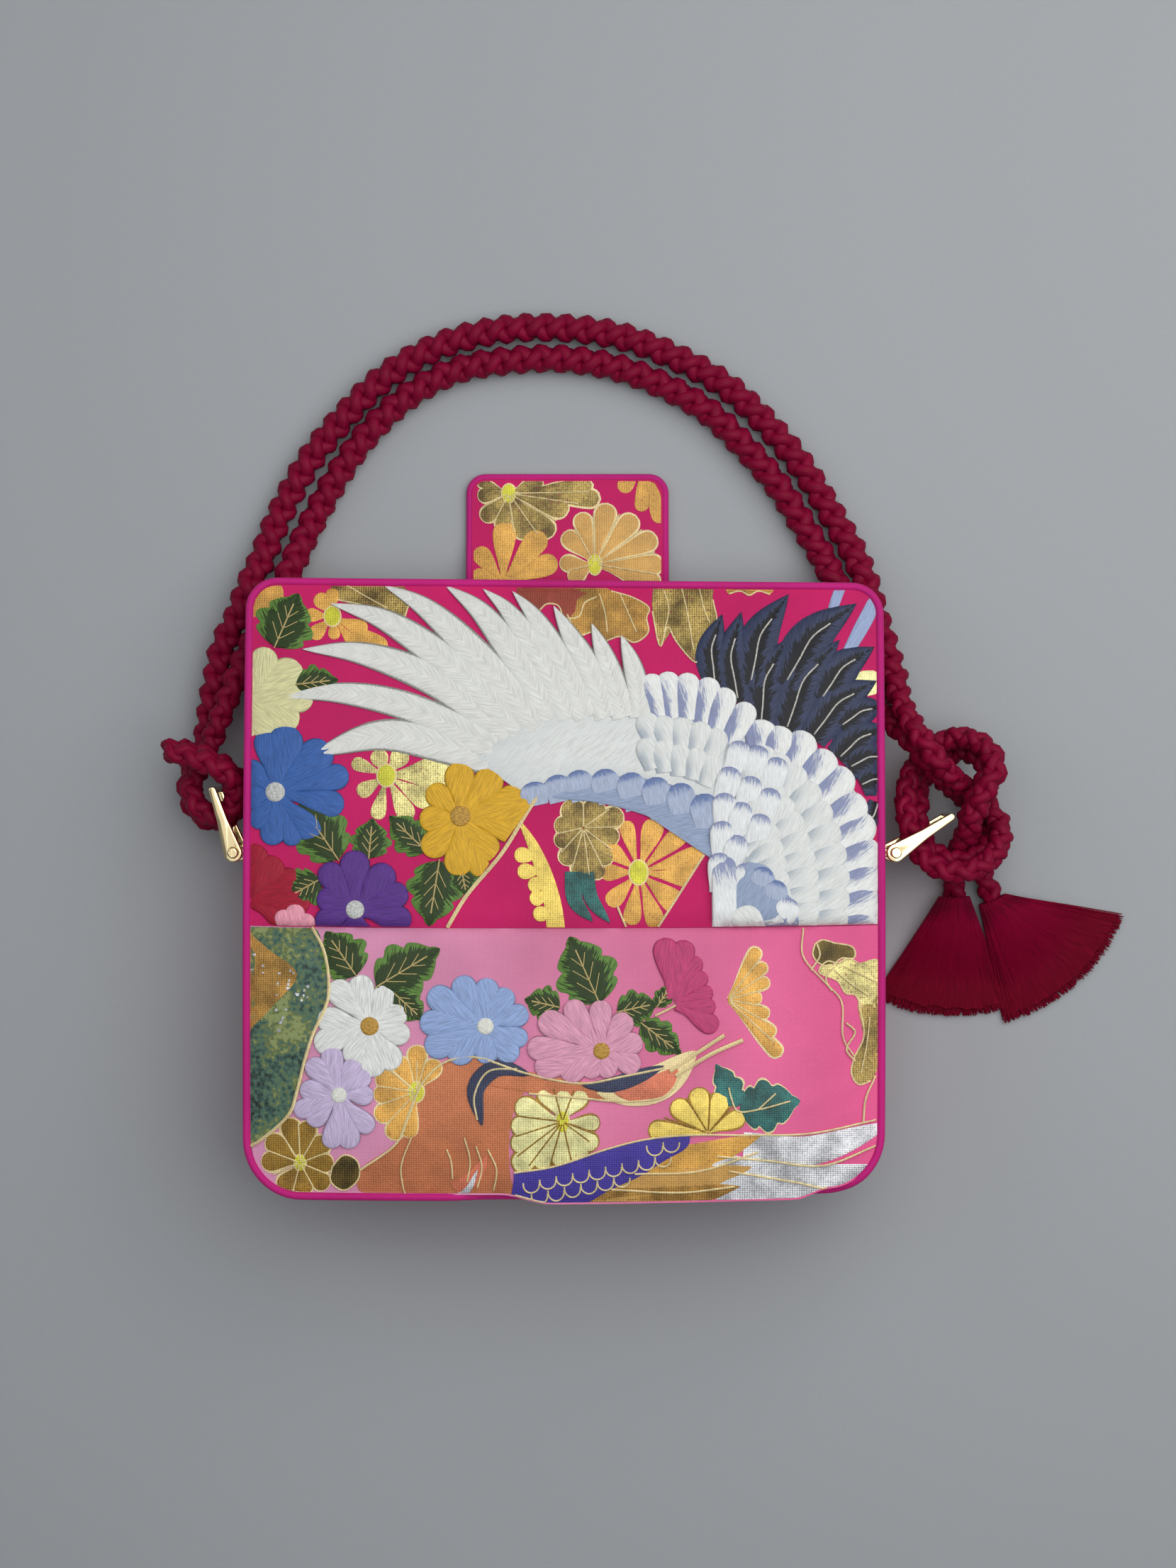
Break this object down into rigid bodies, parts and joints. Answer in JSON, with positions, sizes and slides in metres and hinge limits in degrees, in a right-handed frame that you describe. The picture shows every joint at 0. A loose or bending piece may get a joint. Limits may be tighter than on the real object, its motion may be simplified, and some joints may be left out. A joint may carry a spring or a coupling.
{
  "type": "kimono cloth handbag with a braided cord handle",
  "caption": "Square padded cloth handbag lying on its back, with piped seams, a piped tab, gilt bows and a knotted, doubled braided cord handle with tassels.",
  "frame": {"origin": "middle of the back panel's outer face, on the surface the bag lies on", "axes": "+Z out of the surface, from the bag's back to its front; +Y towards the bag's top and handle; +X to the bag's right side as its front is seen"},
  "size_m": [0.3327, 0.3079, 0.0603],
  "materials": {
    "upper_cloth": "silk crepe with raised embroidery",
    "lower_cloth": "silk crepe with raised embroidery",
    "piping_cloth": "satin bias cloth over cord",
    "brocade": "gold brocade",
    "braid": "braided silk cord",
    "fringe": "silk fringe",
    "gilt": "pale gold plating, polished"
  },
  "bodies": {
    "bag": {"front_upper": "upper_cloth", "front_lower": "lower_cloth", "front_piping": "piping_cloth", "back_panel": "upper_cloth", "back_piping": "piping_cloth", "gusset": "upper_cloth", "tab": "brocade", "tab_piping": "piping_cloth", "left_lug": "gilt", "left_screw_front": "gilt", "left_screw_back": "gilt", "right_lug": "gilt", "right_screw_front": "gilt", "right_screw_back": "gilt", "right_knot": "braid", "handle_outer": "braid", "left_knot": "braid", "handle_inner": "braid", "tassel_left": "fringe", "tassel_right": "fringe"},
    "left_bow": {"left_bow": "gilt"},
    "right_bow": {"right_bow": "gilt"}
  },
  "joints": [
    {"name": "left_bow_hinge", "type": "hinge", "parent": "bag", "child": "left_bow", "pos_m": [-0.11409, 0.0106, 0.0245], "axis": [0, 0, 1], "range_deg": [-5, 5]},
    {"name": "right_bow_hinge", "type": "hinge", "parent": "bag", "child": "right_bow", "pos_m": [0.11409, 0.0106, 0.0245], "axis": [0, 0, 1], "range_deg": [-5, 5]}
  ]
}
